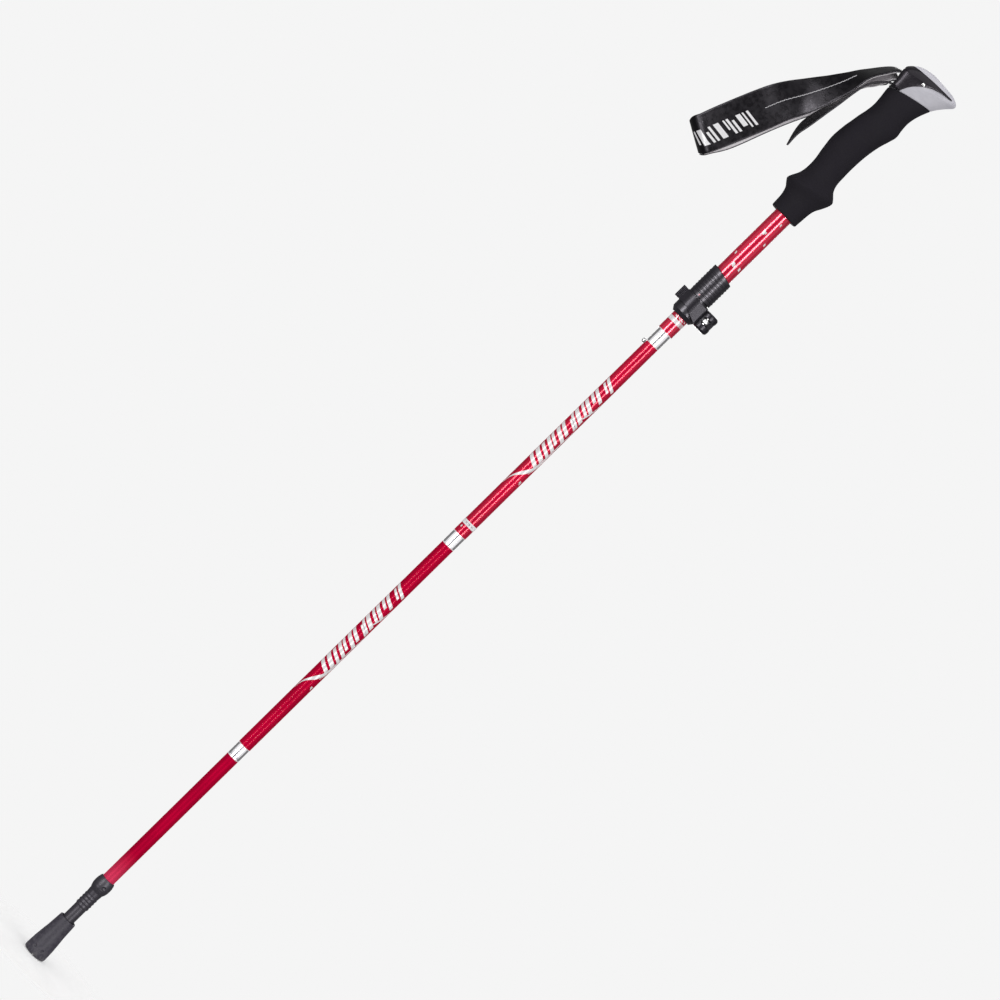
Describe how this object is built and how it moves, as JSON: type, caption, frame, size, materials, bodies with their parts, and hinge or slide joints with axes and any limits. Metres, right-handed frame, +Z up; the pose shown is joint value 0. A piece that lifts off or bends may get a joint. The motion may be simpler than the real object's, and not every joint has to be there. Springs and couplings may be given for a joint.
{
  "type": "folding trekking pole",
  "caption": "Folding, telescoping trekking pole: foam grip with beaked head, wrist strap, lever lock, slim tubes strung on an elastic cord, and a rubber foot over a hard tip.",
  "frame": {"origin": "centre of the rubber foot's sole", "axes": "+Z up the shaft to the handle's head, +X towards the head's beak, the wrist strap hangs on the -X side, and the shaft folds in the YZ plane"},
  "size_m": [0.1582, 0.0437, 1.1227],
  "materials": {
    "red_tube": "gloss anodised",
    "polished_metal": "polished",
    "steel": "plain",
    "grey_plastic": "soft matte",
    "black_trim": "satin",
    "dark_plastic": "moulded",
    "foam": "fine-celled foam",
    "webbing": "satin weave",
    "lining": "brushed knit",
    "cord": "braided",
    "white_plastic": "printed",
    "foot_rubber": "moulded"
  },
  "bodies": {
    "handle": {"head_shell": "grey_plastic", "head_trim": "black_trim", "head_pin": "steel", "strap_pin": "steel", "foam_grip": "foam", "upper_tube": "red_tube", "lock_body": "dark_plastic", "tension_bolt": "steel", "lever_pin": "steel"},
    "strap": {"strap_loop": "webbing", "strap_lining": "lining", "strap_tail": "webbing"},
    "lever": {"lock_lever": "dark_plastic"},
    "nut": {"thumb_nut": "dark_plastic"},
    "inner": {"inner_tube": "red_tube", "guide_plug": "dark_plastic", "ferrule_1": "polished_metal", "button_spring": "steel", "cord_anchor_top": "dark_plastic", "cord_inner": "cord", "cord_joint_1": "cord"},
    "button": {"snap_button": "steel"},
    "section_3": {"tube_3": "red_tube", "marker_ring": "white_plastic", "ferrule_2": "polished_metal", "cord_section_3": "cord", "cord_joint_2": "cord"},
    "section_4": {"tube_4": "red_tube", "ferrule_3": "polished_metal", "cord_section_4": "cord", "cord_joint_3": "cord"},
    "section_5": {"tube_5": "red_tube", "cord_section_5": "cord", "cord_anchor_bottom": "dark_plastic", "tip_holder": "dark_plastic", "carbide_tip": "steel"},
    "foot": {"rubber_foot": "foot_rubber"}
  },
  "joints": [
    {"name": "telescope", "type": "slide", "parent": "handle", "child": "inner", "axis": [0, 0, -1], "range_m": [-0.015, 0.185]},
    {"name": "lever_swing", "type": "hinge", "parent": "handle", "child": "lever", "pos_m": [0.018, -0.01436, 0.8256], "axis": [0, 0, 1], "range_deg": [0, 150]},
    {"name": "nut_turn", "type": "hinge", "parent": "handle", "child": "nut", "pos_m": [0.018, 0.0081, 0.8256], "axis": [0, 1, 0], "continuous": true},
    {"name": "strap_swing", "type": "hinge", "parent": "handle", "child": "strap", "pos_m": [-0.008, 0, 1.099], "axis": [0, 1, 0], "range_deg": [-3, 16]},
    {"name": "button_press", "type": "slide", "parent": "inner", "child": "button", "axis": [1, 0, 0], "range_m": [0, 0.0032], "stiffness_N_per_m": 1500, "deforming": ["button_spring"]},
    {"name": "fold_1", "type": "hinge", "parent": "inner", "child": "section_3", "pos_m": [0, 0.0105, 0.7785], "axis": [1, 0, 0], "range_deg": [0, 176], "deforming": ["cord_joint_1"]},
    {"name": "fold_2", "type": "hinge", "parent": "section_3", "child": "section_4", "pos_m": [0, -0.008, 0.5235], "axis": [-1, 0, 0], "range_deg": [0, 176], "deforming": ["cord_joint_2"]},
    {"name": "fold_3", "type": "hinge", "parent": "section_4", "child": "section_5", "pos_m": [0, 0.008, 0.253], "axis": [1, 0, 0], "range_deg": [0, 176], "deforming": ["cord_joint_3"]},
    {"name": "foot_pull", "type": "slide", "parent": "section_5", "child": "foot", "axis": [0, 0, -1], "range_m": [0, 0.045]}
  ]
}
